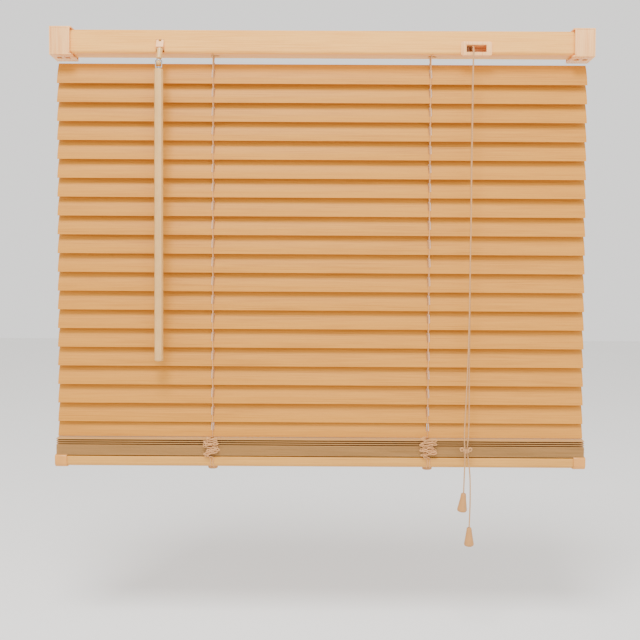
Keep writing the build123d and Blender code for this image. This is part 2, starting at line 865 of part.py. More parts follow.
def pull_cord(points):
    """One free pull cord."""
    radii = bend_radii(points)
    print("pull cord radii", [round(radius) for radius in radii])
    return cord_tube(points, cord_d, radii)


def tassel(points, lean):
    """Turned tassel hanging under a pull cord's end, its top face on the cord's end face."""
    half = tassel_height / 2
    body = Pos(0, 0, -half) * Cone(tassel_bottom_r, tassel_top_r, tassel_height)
    body = fillet(body.edges().group_by(Axis.Z)[0], radius=tassel_foot_edge_r)
    body = fillet(body.edges().group_by(Axis.Z)[-1], radius=tassel_top_edge_r)
    return Pos(*points[-1]) * Rot(0, lean, 0) * body


def save(node, shapes):
    """Writes one node: a single solid, or a group of separate ones."""
    shape = shapes if not isinstance(shapes, list) else Compound(children=shapes)
    export_step(shape, f"parts/{node}.step")


def both_sides(make):
    """The left and the right copy of what make returns for side -1 and 1."""
    return [make(-1), make(1)]


def main():
    """Builds every node."""
    os.makedirs("parts", exist_ok=True)
    save("wall_brackets", mirrored(wall_bracket()))
    left_gate, right_gate = mirrored(gate())
    save("gate_left", left_gate)
    save("gate_right", right_gate)
    save("headrail", headrail())
    save("headrail_end_caps", mirrored(end_cap()))
    save("drum_cradles", both_sides(drum_cradle))
    save("ladder_drums", both_sides(ladder_drum))
    save("tilt_rod", tilt_rod())
    save("tilter_gear", tilter_gear())
    save("tilter_worm", tilter_worm())
    save("tilter_case", tilter_case())
    save("wand_hook", wand_hook())
    save("wand", wand())
    save("cord_lock_case", cord_lock_case())
    save("cord_lock_roller", cord_lock_roller())
    for number in range(1, hanging_slats + 1):
        save(f"slat_{number:02d}", hanging_slat(number))
    for number in range(fixed_slats + 1, hanging_slats):
        save(f"lift_cord_{number:02d}", lift_cord_lengths(number))
    save("lift_cord_runs", lift_cord_runs())
    save("ladder_front_strings", ladder_strings(True))
    save("ladder_rear_strings", ladder_strings(False))
    save("bottom_rail", bottom_rail())
    save("bottom_rail_end_caps", mirrored(rail_cap()))
    save("stacked_slats", stacked_slats())
    save("cord_plugs", cord_plug(-1) + cord_plug(1))
    save("pull_cord_short", pull_cord(pull_cord_short_route))
    save("pull_cord_long", pull_cord(pull_cord_long_route))
    save(
        "cord_tassels",
        [tassel(pull_cord_short_route, tassel_lean), tassel(pull_cord_long_route, 0)],
    )


main()
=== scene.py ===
"""Looks of a 25 mm wood-effect venetian blind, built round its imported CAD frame.

The frame holds every rigid part and joint. This file gives each part its finish and adds the
soft ones: pull cords, ladder strings with their rungs and slack loops, and lift cords.
"""

import json
import math
import random

import bmesh
import bpy
from mathutils import Matrix, Vector


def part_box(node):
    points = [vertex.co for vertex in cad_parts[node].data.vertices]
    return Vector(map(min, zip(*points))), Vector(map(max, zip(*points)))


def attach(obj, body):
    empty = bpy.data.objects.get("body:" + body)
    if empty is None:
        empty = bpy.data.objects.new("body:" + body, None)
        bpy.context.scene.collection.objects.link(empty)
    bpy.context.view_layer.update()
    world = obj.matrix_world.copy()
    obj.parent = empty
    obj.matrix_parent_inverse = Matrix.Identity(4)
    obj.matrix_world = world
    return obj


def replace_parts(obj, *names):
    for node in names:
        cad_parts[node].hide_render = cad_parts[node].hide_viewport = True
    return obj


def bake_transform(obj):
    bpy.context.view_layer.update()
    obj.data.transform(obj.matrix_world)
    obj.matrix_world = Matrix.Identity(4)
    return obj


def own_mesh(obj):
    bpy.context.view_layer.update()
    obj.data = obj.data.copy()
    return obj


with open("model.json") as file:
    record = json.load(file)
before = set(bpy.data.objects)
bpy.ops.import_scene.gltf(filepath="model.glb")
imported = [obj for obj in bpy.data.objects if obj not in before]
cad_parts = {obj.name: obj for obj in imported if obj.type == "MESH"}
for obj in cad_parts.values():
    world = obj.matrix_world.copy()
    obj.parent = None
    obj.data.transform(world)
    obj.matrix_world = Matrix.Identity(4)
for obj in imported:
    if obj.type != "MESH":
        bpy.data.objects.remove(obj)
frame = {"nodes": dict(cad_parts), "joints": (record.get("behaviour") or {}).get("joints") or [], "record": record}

bl_info = {
    "name": "Venetian blind",
    "version": (1, 0, 0),
    "blender": (4, 5, 0),
    "location": "3D View > Sidebar > Blind",
    "description": "Finishes a wood-effect venetian blind round its CAD frame",
    "category": "Object",
}

MM = 0.001
SIDES = {"left": -1, "right": 1}
HANGING = 20
FIXED = 4
LIFT_CORD_RADIUS = 0.7 * MM
SLAT_EDGE_REACH = 14.5 * MM
SLAT_EDGE_DROP = 0.6 * MM
STRING_HOLE_REACH = 8.5 * MM
CAMERA_PLACE = (0.0028, -1.0499, -0.2719)
CAMERA_LENS = 51.67
CAMERA_PAN = 0.196
CAMERA_PITCH = -1.928
CAMERA_ROLL = -0.295
FLOOR_HEIGHT = -0.66


# ---- places read from the frame ----
def joint(name):
    """The frame's joint of that name."""
    return next(j for j in frame["joints"] if j["name"] == name)


def slat_axis(number):
    """Middle of a hanging slat's long axis."""
    return Vector(joint(f"tilt_{number:02d}")["pos_m"])


def string_offset(edge):
    """From a slat's axis to the string at its front or rear edge."""
    return Vector(joint(f"{edge}_strings_level")["pos_m"]) - slat_axis(1)


LADDER_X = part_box("lift_cord_05")[1].x - LIFT_CORD_RADIUS
RAIL_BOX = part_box("bottom_rail")
STACK_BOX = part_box("stacked_slats")
HEADRAIL_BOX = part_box("headrail")


def linear(hex_colour):
    """sRGB hex, such as "#C8A070", as linear red, green and blue."""
    parts = [int(hex_colour[i:i + 2], 16) / 255 for i in (1, 3, 5)]
    return tuple(
        c / 12.92 if c <= 0.04045 else ((c + 0.055) / 1.055) ** 2.4 for c in parts
    )


# ---- settings ----
def length_property(name, description, default):
    """A length in metres."""
    return bpy.props.FloatProperty(
        name=name, description=description, default=default, unit="LENGTH", precision=5
    )


def colour_property(name, description, hex_colour):
    """A colour that starts at an sRGB hex value."""
    return bpy.props.FloatVectorProperty(
        name=name,
        description=description,
        subtype="COLOR",
        size=3,
        min=0.0,
        max=1.0,
        default=linear(hex_colour),
    )


class BlindSizes(bpy.types.PropertyGroup):
    """Sizes of the pieces that are added to the frame."""

    cord: length_property("Cord", "Diameter of the lift and pull cords", 1.4 * MM)
    string: length_property("String", "Diameter of the ladder strings", 0.8 * MM)
    rung_gap: length_property("Rung gap", "Between the two rungs under a slat", 2.3 * MM)
    slack_reach: length_property("Slack reach", "Slack loops' reach to each side", 9.8 * MM)
    knot_radius: length_property("Knot radius", "Reach of the pull cords' knot", 5.6 * MM)
    grain: length_property("Grain", "Height of one printed grain streak", 0.7 * MM)


class BlindColours(bpy.types.PropertyGroup):
    """Colours of the blind's finishes."""

    slat: colour_property("Slat", "Honey oak print on the slats", "#CE8C30")
    slat_dark: colour_property("Slat grain", "Darker grain in the slats' print", "#B97825")
    # The stacked slats get a duller copy of the slat print: painted shade for the stack where it sits under the
    # hanging slats.
    edge: colour_property("Slat stack shade", "Duller copy of the slat print on the stacked slats, painted shade", "#C39358")
    stack_shade_grain: colour_property("Slat stack shade grain", "Grain in the stack's painted-shade colour", "#A67A42")
    maple: colour_property("Headrail", "Pale maple foil", "#FBB85C")
    maple_dark: colour_property("Headrail grain", "Grain in the maple foil", "#EBA047")
    rail: colour_property("Bottom rail", "Tan foil on the bottom rail", "#D89C49")
    rail_dark: colour_property("Bottom rail grain", "Grain in the tan foil", "#C18637")
    bracket: colour_property("Bracket", "Moulded brackets and bezel", "#FFC079")
    bracket_dark: colour_property("Bracket grain", "Moulded grain of the brackets", "#F2A65F")
    cap: colour_property("Rail cap", "Bottom rail's end caps", "#DC953D")
    wand: colour_property("Wand", "Cream wand and link", "#D6A866")
    cord: colour_property("Cord", "Braided cords", "#C9955E")
    string: colour_property("String", "Ladder strings", "#E0A468")
    tassel: colour_property("Tassel", "Tassels and cord plugs", "#BD8547")
    roller: colour_property("Roller", "Brown cord lock roller", "#8C5F34")
    nylon: colour_property("Nylon", "Drums, cradles and worm wheel", "#ECE9DF")
    steel: colour_property("Steel", "Zinc-plated rod and hook", "#B9BBBD")
    floor: colour_property("Floor", "Pale studio floor", "#F1F0EE")


# ---- materials ----
def add_node(tree, kind, settings, inputs):
    """Adds a node. Inputs are values, or (node, output) pairs to link."""
    node = tree.nodes.new(kind)
    for name, value in settings.items():
        setattr(node, name, value)
    for name, value in inputs.items():
        if isinstance(value, tuple) and isinstance(value[0], bpy.types.Node):
            tree.links.new(value[0].outputs[value[1]], node.inputs[name])
        else:
            node.inputs[name].default_value = value
    return node


def rgba(colour, factor=1.0):
    """A colour with full alpha, made lighter or darker by factor."""
    return (*(min(1.0, channel * factor) for channel in colour), 1.0)


def new_material(name):
    """An empty node material and its tree."""
    material = bpy.data.materials.new(name)
    material.use_nodes = True
    material.node_tree.nodes.clear()
    return material, material.node_tree


def finish_material(tree, shader_inputs):
    """Adds the Principled shader and the output."""
    shader = add_node(tree, "ShaderNodeBsdfPrincipled", {}, shader_inputs)
    add_node(tree, "ShaderNodeOutputMaterial", {}, {"Surface": (shader, "BSDF")})


def streaks(tree, length, height, detail):
    """Noise drawn out along X: streaks of that length and height, in metres."""
    coords = add_node(tree, "ShaderNodeTexCoord", {}, {})
    scale = (1 / length, 1 / height, 1 / height)
    mapping = add_node(
        tree, "ShaderNodeMapping", {}, {"Vector": (coords, "Object"), "Scale": scale}
    )
    return add_node(
        tree,
        "ShaderNodeTexNoise",
        {},
        {"Vector": (mapping, "Vector"), "Scale": 1.0, "Detail": detail, "Roughness": 0.6},
    )


def mixed(tree, factor, low, high, a, b, most=1.0):
    """Colour b over colour a where factor passes from low to high, up to that share."""
    mask = add_node(
        tree,
        "ShaderNodeMapRange",
        {},
        {"Value": factor, "From Min": low, "From Max": high, "To Max": most},
    )
    return add_node(
        tree,
        "ShaderNodeMix",
        {"data_type": "RGBA"},
        {0: (mask, "Result"), 6: a, 7: b},
    )


def printed_foil(name, colour, grain_colour, height, roughness):
    """PVC with a printed wood foil under a satin lacquer: long fine grain along X."""
    material, tree = new_material(name)
    fine = streaks(tree, 60 * MM, height, 3.0)
    tone = streaks(tree, 260 * MM, 16 * MM, 2.0)
    pores = streaks(tree, 5 * MM, 0.3 * MM, 1.0)
    grained = mixed(tree, (fine, "Fac"), 0.42, 0.66, rgba(colour), rgba(grain_colour))
    toned = mixed(
        tree, (tone, "Fac"), 0.35, 0.7, (grained, 2), rgba(colour, 1.06), most=0.55
    )
    speckled = mixed(
        tree, (pores, "Fac"), 0.6, 0.78, (toned, 2), rgba(grain_colour, 0.92), most=0.4
    )
    bump = add_node(
        tree,
        "ShaderNodeBump",
        {},
        {"Height": (pores, "Fac"), "Strength": 0.12, "Distance": 0.1 * MM},
    )
    finish_material(
        tree,
        {
            "Base Color": (speckled, 2),
            "Roughness": roughness,
            "IOR": 1.45,
            "Specular IOR Level": 0.3,
            "Normal": (bump, "Normal"),
        },
    )
    return material


def moulded_plastic(name, colour, roughness, grit, ior=1.53, subsurface=0.0):
    """Injection-moulded plastic: a fine spark-eroded texture and faint flow marks."""
    material, tree = new_material(name)
    coords = add_node(tree, "ShaderNodeTexCoord", {}, {})
    texture = add_node(
        tree,
        "ShaderNodeTexNoise",
        {},
        {"Vector": (coords, "Object"), "Scale": 1 / grit, "Detail": 2.0},
    )
    flow = add_node(
        tree,
        "ShaderNodeTexNoise",
        {},
        {"Vector": (coords, "Object"), "Scale": 1 / (9 * MM), "Detail": 2.0},
    )
    shade = mixed(
        tree, (flow, "Fac"), 0.35, 0.7, rgba(colour, 0.94), rgba(colour, 1.05)
    )
    bump = add_node(
        tree,
        "ShaderNodeBump",
        {},
        {"Height": (texture, "Fac"), "Strength": 0.15, "Distance": 0.08 * MM},
    )
    finish_material(
        tree,
        {
            "Base Color": (shade, 2),
            "Roughness": roughness,
            "IOR": ior,
            "Subsurface Weight": subsurface,
            "Subsurface Radius": (1.5 * MM, 1.1 * MM, 0.7 * MM),
            "Subsurface Scale": 1.0,
            "Normal": (bump, "Normal"),
        },
    )
    return material


def grained_plastic(name, colour, grain_colour):
    """Moulded ABS with a shallow upright wood grain cut in the tool, and a satin finish."""
    material, tree = new_material(name)
    coords = add_node(tree, "ShaderNodeTexCoord", {}, {})
    grain_scale = (1 / (1.1 * MM), 1 / (9 * MM), 1 / (30 * MM))
    stretched = add_node(
        tree,
        "ShaderNodeMapping",
        {},
        {"Vector": (coords, "Object"), "Scale": grain_scale},
    )
    grain = add_node(
        tree,
        "ShaderNodeTexNoise",
        {},
        {"Vector": (stretched, "Vector"), "Scale": 1.0, "Detail": 3.0},
    )
    shade = mixed(tree, (grain, "Fac"), 0.42, 0.72, rgba(colour), rgba(grain_colour))
    bump = add_node(
        tree,
        "ShaderNodeBump",
        {},
        {"Height": (grain, "Fac"), "Strength": 0.2, "Distance": 0.1 * MM},
    )
    finish_material(
        tree,
        {
            "Base Color": (shade, 2),
            "Roughness": 0.42,
            "IOR": 1.5,
            "Normal": (bump, "Normal"),
        },
    )
    return material


def braided_cord(name, colour, pitch):
    """Braided polyester: slanting plaits of that pitch, drawn a little coarse to show."""
    material, tree = new_material(name)
    coords = add_node(tree, "ShaderNodeTexCoord", {}, {})
    plaits = add_node(
        tree,
        "ShaderNodeTexWave",
        {"wave_type": "BANDS", "bands_direction": "DIAGONAL"},
        {
            "Vector": (coords, "Object"),
            "Scale": 0.314 / pitch,
            "Distortion": 1.5,
            "Detail": 1.0,
        },
    )
    shade = mixed(
        tree, (plaits, "Fac"), 0.1, 0.9, rgba(colour, 0.72), rgba(colour, 1.08)
    )
    bump = add_node(
        tree,
        "ShaderNodeBump",
        {},
        {"Height": (plaits, "Fac"), "Strength": 0.5, "Distance": 0.15 * MM},
    )
    finish_material(
        tree,
        {
            "Base Color": (shade, 2),
            "Roughness": 0.82,
            "Sheen Weight": 0.1,
            "Sheen Roughness": 0.5,
            "Normal": (bump, "Normal"),
        },
    )
    return material


def plated_steel(name, colour):
    """Zinc-plated steel: drawn wire or bar with a dull brushed lustre."""
    material, tree = new_material(name)
    brushed = streaks(tree, 20 * MM, 0.15 * MM, 2.0)
    shade = mixed(
        tree, (brushed, "Fac"), 0.3, 0.7, rgba(colour, 0.85), rgba(colour, 1.05)
    )
    finish_material(
        tree, {"Base Color": (shade, 2), "Metallic": 1.0, "Roughness": 0.34}
    )
    return material


def painted_floor(name, colour):
    """Matt studio floor with a barely uneven coat."""
    material, tree = new_material(name)
    coords = add_node(tree, "ShaderNodeTexCoord", {}, {})
    uneven = add_node(
        tree,
        "ShaderNodeTexNoise",
        {},
        {"Vector": (coords, "Object"), "Scale": 3.0, "Detail": 3.0},
    )
    shade = mixed(
        tree, (uneven, "Fac"), 0.3, 0.7, rgba(colour, 0.99), rgba(colour, 1.0)
    )
    finish_material(tree, {"Base Color": (shade, 2), "Roughness": 0.9})
    return material


def material_of(name):
    """The finish of that name, made the first time it is asked for."""
    if name in bpy.data.materials:
        return bpy.data.materials[name]
    colours = bpy.context.scene.blind_colours
    grain = bpy.context.scene.blind_sizes.grain
    makers = {
        "printed_pvc_honey": lambda: printed_foil(
            name, colours.slat, colours.slat_dark, grain, 0.5
        ),
        # The stack's finish: the slat print in its duller copy, which paints in the stack's shade.
        "pvc_slat_stack_shaded": lambda: printed_foil(
            name, colours.edge, colours.stack_shade_grain, 0.6 * grain, 0.5
        ),
        "maple_foil": lambda: printed_foil(
            name, colours.maple, colours.maple_dark, 1.3 * grain, 0.45
        ),
        "tan_foil": lambda: printed_foil(
            name, colours.rail, colours.rail_dark, 1.2 * grain, 0.45
        ),
        "moulded_abs_beige": lambda: grained_plastic(
            name, colours.bracket, colours.bracket_dark
        ),
        "moulded_abs_tan": lambda: moulded_plastic(name, colours.cap, 0.42, 0.4 * MM),
        "cream_acrylic": lambda: moulded_plastic(
            name, colours.wand, 0.3, 0.6 * MM, 1.49, 0.15
        ),
        "turned_tan_plastic": lambda: moulded_plastic(
            name, colours.tassel, 0.45, 0.5 * MM
        ),
        "brown_acetal": lambda: moulded_plastic(name, colours.roller, 0.35, 0.5 * MM),
        "natural_nylon": lambda: moulded_plastic(
            name, colours.nylon, 0.5, 0.4 * MM, 1.53, 0.1
        ),
        "braided_polyester": lambda: braided_cord(name, colours.cord, 0.9 * MM),
        "twisted_polyester": lambda: braided_cord(name, colours.string, 0.6 * MM),
        "zinc_plated_steel": lambda: plated_steel(name, colours.steel),
        "matt_studio_paint": lambda: painted_floor(name, colours.floor),
    }
    return makers[name]()


def paint(piece, material_name):
    """Gives a piece one finish."""
    piece.data.materials.clear()
    piece.data.materials.append(material_of(material_name))
    return piece


def paint_nodes(material_name, *nodes):
    """Gives CAD nodes one finish, in their own material slots."""
    for node in nodes:
        shown = frame["nodes"][node]
        if not shown.data.materials:
            shown.data.materials.append(None)
        for index in range(len(shown.data.materials)):
            shown.data.materials[index] = material_of(material_name)


def body_of(node):
    """The body that a CAD node rides on."""
    bodies = frame["record"]["behaviour"]["bodies"]
    return next(body for body, nodes in bodies.items() if node in nodes)


def eased(node, width, finish):
    """A moulded part as the CAD has it, with its sharp edges rounded off by width."""
    shape = bmesh.new()
    shape.from_mesh(frame["nodes"][node].data)
    bmesh.ops.remove_doubles(shape, verts=shape.verts, dist=0.003 * MM)
    bmesh.ops.dissolve_limit(
        shape, angle_limit=math.radians(1), verts=shape.verts, edges=shape.edges
    )
    for face in shape.faces:
        face.smooth = True
    name = f"{node}_moulding"
    piece = paint(link(name, mesh_from(name, shape)), finish)
    bevel = piece.modifiers.new("eased_edges", "BEVEL")
    bevel.width = width
    bevel.segments = 2
    bevel.limit_method = "ANGLE"
    bevel.angle_limit = math.radians(35)
    bevel.harden_normals = True
    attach(piece, body_of(node))
    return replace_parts(piece, node)


# ---- curves and meshes ----
def link(name, data):
    """A new object for the data, in the scene."""
    made = bpy.data.objects.new(name, data)
    bpy.context.scene.collection.objects.link(made)
    return made


def mesh_from(name, shape):
    """The finished bmesh as a mesh, and the bmesh itself freed."""
    mesh = bpy.data.meshes.new(name)
    shape.to_mesh(mesh)
    shape.free()
    return mesh


def route_curve(name, points):
    """A smooth curve that runs from the first point to the last."""
    data = bpy.data.curves.new(name, "CURVE")
    data.dimensions = "3D"
    data.resolution_u = 8
    spline = data.splines.new("NURBS")
    spline.points.add(len(points) - 1)
    for point, place in zip(spline.points, points):
        point.co = (*place, 1.0)
    spline.order_u = 3
    spline.use_endpoint_u = True
    return link(name, data)


def mesh_of(curve):
    """The curve's evaluated mesh, and the curve itself removed."""
    graph = bpy.context.evaluated_depsgraph_get()
    mesh = bpy.data.meshes.new_from_object(curve.evaluated_get(graph))
    name = curve.name
    bpy.data.objects.remove(curve)
    mesh.name = name
    return mesh


def centreline(points):
    """Points along the smooth route."""
    mesh = mesh_of(route_curve("centreline", points))
    line = [vertex.co.copy() for vertex in mesh.vertices]
    bpy.data.meshes.remove(mesh)
    return line


def tube(name, points, diameter, round_steps=2):
    """A capped round tube along the smooth route, as a mesh piece."""
    curve = route_curve(name, points)
    curve.data.bevel_depth = diameter / 2
    curve.data.bevel_resolution = round_steps
    curve.data.use_fill_caps = True
    mesh = mesh_of(curve)
    for face in mesh.polygons:
        face.use_smooth = True
    return link(name, mesh)


def join(name, pieces):
    """Several mesh pieces as one."""
    whole = bmesh.new()
    for piece in pieces:
        whole.from_mesh(piece.data)
        bpy.data.objects.remove(piece)
    return link(name, mesh_from(name, whole))


def in_metres(points_mm):
    """Points given in millimetres, as vectors in metres."""
    return [Vector(point) * MM for point in points_mm]


# ---- stage ----
def soft_light(name, place, target, size, power):
    """A large square lamp that faces a point."""
    data = bpy.data.lights.new(name, "AREA")
    data.size = size
    data.energy = power
    lamp = link(name, data)
    aim = (Vector(target) - Vector(place)).to_track_quat("-Z", "Y")
    lamp.matrix_world = Matrix.Translation(place) @ aim.to_matrix().to_4x4()


def studio_camera():
    """The camera: just left of the middle, level with the slats, tipped down a little."""
    data = bpy.data.cameras.new("camera")
    data.lens = CAMERA_LENS
    data.clip_start = 0.05
    camera = link("camera", data)
    turn = (
        Matrix.Rotation(math.radians(CAMERA_PAN), 4, "Z")
        @ Matrix.Rotation(math.radians(CAMERA_PITCH), 4, "X")
        @ Matrix.Rotation(math.radians(CAMERA_ROLL), 4, "Y")
        @ Matrix.Rotation(math.radians(90), 4, "X")
    )
    camera.matrix_world = Matrix.Translation(CAMERA_PLACE) @ turn
    bpy.context.scene.camera = camera


class BLIND_OT_stage(bpy.types.Operator):
    """Add the camera, the pale floor and the soft studio lights"""

    bl_idname = "blind.stage"
    bl_label = "Stage"

    def execute(self, context):
        studio_camera()
        shape = bmesh.new()
        bmesh.ops.create_grid(shape, x_segments=2, y_segments=2, size=5.0)
        bmesh.ops.translate(shape, verts=shape.verts, vec=(0, 1.0, FLOOR_HEIGHT))
        paint(link("floor", mesh_from("floor", shape)), "matt_studio_paint")
        middle = (0, 0, -0.25)
        soft_light("key_light", (-0.3, -1.3, 1.7), middle, 0.9, 64)
        soft_light("fill_light", (0.9, -2.0, 0.6), middle, 1.5, 14)
        world = bpy.data.worlds.new("studio")
        world.use_nodes = True
        backdrop = world.node_tree.nodes["Background"]
        backdrop.inputs["Color"].default_value = (1.0, 0.985, 0.965, 1.0)
        backdrop.inputs["Strength"].default_value = 1.35
        context.scene.world = world
        return {"FINISHED"}


# ---- pull cords ----
PULL_CORD_SHORT_ROUTE = [
    (166.0, -20.5, -4.0),
    (166.0, -28.5, -4.0),
    (165.9, -35.0, -6.4),
    (165.6, -39.2, -12.6),
    (165.2, -40.1, -24.5),
    (164.8, -39.7, -45.0),
    (165.0, -39.4, -84.0),
    (164.4, -39.7, -136.0),
    (164.6, -39.5, -190.0),
    (163.9, -39.7, -248.0),
    (163.7, -39.4, -306.0),
    (162.4, -39.7, -362.0),
    (160.3, -39.5, -410.0),
    (159.3, -39.6, -436.0),
    (160.2, -39.8, -449.0),
    (160.5, -39.5, -460.0),
    (159.7, -39.7, -479.0),
    (159.3, -39.5, -497.5),
]
PULL_CORD_LONG_ROUTE = [
    (166.0, -20.5, -6.2),
    (166.0, -27.5, -6.2),
    (165.8, -33.2, -8.3),
    (165.5, -36.7, -13.6),
    (165.2, -37.6, -24.0),
    (164.6, -37.3, -43.0),
    (164.9, -37.1, -80.0),
    (164.3, -37.3, -134.0),
    (164.7, -37.1, -192.0),
    (164.3, -37.3, -250.0),
    (164.6, -37.1, -308.0),
    (164.3, -37.3, -364.0),
    (165.0, -37.2, -412.0),
    (164.2, -37.4, -436.0),
    (162.9, -37.1, -449.0),
    (164.6, -37.0, -461.0),
    (166.6, -36.9, -476.0),
    (167.1, -36.7, -496.5),
    (167.0, -36.8, -517.0),
    (166.2, -36.7, -536.5),
]


def tassel(name, top, lean):
    """A turned tassel: a narrow shoulder that widens to a rounded foot, with a cord hole."""
    outline = [
        (1.1, 0.0), (2.1, 0.0), (2.6, -0.5), (2.8, -1.6), (3.5, -7.0), (4.6, -13.5),
        (5.3, -17.2), (5.4, -18.6), (4.9, -20.0), (3.6, -20.8), (1.8, -21.0), (0.0, -21.0),
    ]
    shape = bmesh.new()
    verts = [shape.verts.new((radius * MM, 0, height * MM)) for radius, height in outline]
    hole = shape.verts.new((1.0 * MM, 0, -1.5 * MM))
    bottom = shape.verts.new((0, 0, -1.8 * MM))
    chain = [bottom, hole, *verts]
    edges = [shape.edges.new(pair) for pair in zip(chain, chain[1:])]
    bmesh.ops.spin(
        shape,
        geom=chain + edges,
        axis=(0, 0, 1),
        cent=(0, 0, 0),
        angle=math.tau,
        steps=40,
        use_merge=True,
        use_duplicate=False,
    )
    bmesh.ops.remove_doubles(shape, verts=shape.verts, dist=0.01 * MM)
    bmesh.ops.recalc_face_normals(shape, faces=shape.faces)
    place = Matrix.Translation(top) @ Matrix.Rotation(math.radians(lean), 4, "Y")
    bmesh.ops.transform(shape, matrix=place, verts=shape.verts)
    for face in shape.faces:
        face.smooth = True
    piece = paint(link(name, mesh_from(name, shape)), "turned_tan_plastic")
    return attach(piece, "pull")


def cord_knot(centre, reach, diameter):
    """The pull cords' knot: a small eye to each side, bound by a thick wrap in the middle."""
    pieces = []
    for side in (-1, 1):
        eye = []
        for step in range(19):
            angle = 1.5 * math.tau * step / 18
            swell = 1 - 0.2 * step / 18
            across = side * (0.8 * reach + 0.36 * reach * swell * math.cos(angle))
            height = 0.36 * reach * swell * math.sin(angle) + 0.1 * reach
            depth = (-0.5 - 0.9 * step / 18) * MM
            eye.append(centre + Vector((across, depth, height)))
        pieces.append(tube("knot_eye", eye, diameter))
    wrap = []
    for step in range(33):
        angle = math.tau * step / 8
        share = step / 32 - 0.5
        wrap.append(
            centre
            + Vector(
                (
                    share * 1.15 * reach,
                    0.34 * reach * math.cos(angle) - 0.8 * MM,
                    0.34 * reach * math.sin(angle) - 0.25 * reach + 0.5 * reach * share * share,
                )
            )
        )
    pieces.append(tube("knot_wrap", wrap, 1.1 * diameter))
    return join("pull_cord_knot", pieces)


KNOT_POINT = 14
TASSEL_SINK = Vector((0, 0, 0.6 * MM))


class BLIND_OT_pull_cords(bpy.types.Operator):
    """Add the two pull cords, their knot and their tassels"""

    bl_idname = "blind.pull_cords"
    bl_label = "Pull cords"

    def execute(self, context):
        sizes = context.scene.blind_sizes
        routes = {"short": PULL_CORD_SHORT_ROUTE, "long": PULL_CORD_LONG_ROUTE}
        leans = {"short": 5, "long": 0}
        beside = [Vector(route[KNOT_POINT]) for route in routes.values()]
        knot = cord_knot(sum(beside, Vector()) / 2 * MM, sizes.knot_radius, sizes.cord)
        paint(knot, "braided_polyester")
        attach(knot, "pull")
        for name, route in routes.items():
            points = in_metres(route)
            end = tassel(f"tassel_{name}", points[-1] + TASSEL_SINK, leans[name])
            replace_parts(end, "cord_tassels")
            line = centreline(points)
            cord = tube(f"pull_cord_{name}_braid", points, sizes.cord)
            paint(cord, "braided_polyester")
            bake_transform(cord)
            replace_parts(cord, f"pull_cord_{name}")
        return {"FINISHED"}


# ---- ladders ----
def string_piece(name, points, body):
    """One length of ladder string on a body."""
    piece = tube(name, points, bpy.context.scene.blind_sizes.string, 1)
    paint(piece, "twisted_polyester")
    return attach(piece, body)


def slat_point(number, x, across, height):
    """A point on a closed slat's section: across from its axis, and height off its plane."""
    lean = math.atan2(-string_offset("front").z, -string_offset("front").y)
    crown = math.atan2(SLAT_EDGE_DROP, SLAT_EDGE_REACH)
    turn = lean + crown
    y = across * math.cos(turn) - height * math.sin(turn)
    z = across * math.sin(turn) + height * math.cos(turn)
    return slat_axis(number) + Vector((x, y, z))


def rungs(number):
    """The rungs under one slat, two at each ladder, with a knot where each meets a string."""
    sizes = bpy.context.scene.blind_sizes
    pieces = []
    for side in SIDES.values():
        for step in (-1, 1):
            x = side * LADDER_X + step * sizes.rung_gap / 2
            middle_x = side * LADDER_X
            points = [
                slat_point(number, middle_x, -SLAT_EDGE_REACH, -SLAT_EDGE_DROP),
                slat_point(number, (x + middle_x) / 2, -13.6 * MM, -1.0 * MM),
                slat_point(number, x, -12.0 * MM, -1.25 * MM),
                slat_point(number, x, 0, -1.3 * MM),
                slat_point(number, x, 12.0 * MM, -1.25 * MM),
                slat_point(number, (x + middle_x) / 2, 13.6 * MM, -1.0 * MM),
                slat_point(number, middle_x, SLAT_EDGE_REACH, -SLAT_EDGE_DROP),
            ]
            pieces.append(tube("rung", points, 0.8 * sizes.string, 1))
    piece = join(f"ladder_rungs_{number:02d}", pieces)
    knots = bmesh.new()
    knots.from_mesh(piece.data)
    for side in SIDES.values():
        for edge in (-SLAT_EDGE_REACH, SLAT_EDGE_REACH):
            centre = slat_point(number, side * LADDER_X, edge, -SLAT_EDGE_DROP)
            place = Matrix.Translation(centre) @ Matrix.Diagonal((1, 1, 1.9, 1))
            bmesh.ops.create_icosphere(
                knots, subdivisions=2, radius=0.8 * sizes.string, matrix=place
            )
    knots.to_mesh(piece.data)
    knots.free()
    for face in piece.data.polygons:
        face.use_smooth = True
    paint(piece, "twisted_polyester")
    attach(piece, f"slat_{number:02d}_body")


def slack_strand(x, face_y, out, top, bottom, dice):
    """One strand of slack: flattened loops of uneven size that cross on its way down."""
    reach = bpy.context.scene.blind_sizes.slack_reach
    swings = 9
    points = []
    for swing in range(swings):
        side = 1 if swing % 2 else -1
        height = top + (bottom - top) * (swing + 0.5) / swings
        depth = face_y + out * dice.uniform(0.2, 3.2) * MM
        spread = side * reach * dice.uniform(0.45, 1.05)
        tilt = dice.uniform(-1.8, 1.8) * MM
        bulge = dice.uniform(0.9, 1.9) * MM
        bend = ((0.55, bulge), (0.97, 0.8 * bulge), (1.0, -0.6 * bulge), (0.5, -bulge))
        for part, rise in bend:
            points.append(
                Vector(
                    (
                        x + spread * part + dice.uniform(-0.4, 0.4) * MM,
                        depth + out * dice.uniform(-0.4, 0.4) * MM,
                        height + rise + tilt * part,
                    )
                )
            )
    return points


def slack_tail(x, tail_x, out, rail_face):
    """A strand's end, from the bunch over the rail's face to the plug under it."""
    rail_bottom = RAIL_BOX[0].z
    turns = (
        (1.4, 1.0, RAIL_BOX[1].z - 1.0 * MM),
        (0.9, 0.2, RAIL_BOX[1].z - 4.5 * MM),
        (0.8, 0.0, rail_bottom + 4.0 * MM),
        (1.2, -1.4, rail_bottom + 0.4 * MM),
        (1.1, -5.5, rail_bottom - 0.9 * MM),
    )
    return [
        Vector((x + share * tail_x * MM, rail_face + out * depth * MM, height))
        for share, depth, height in turns
    ]


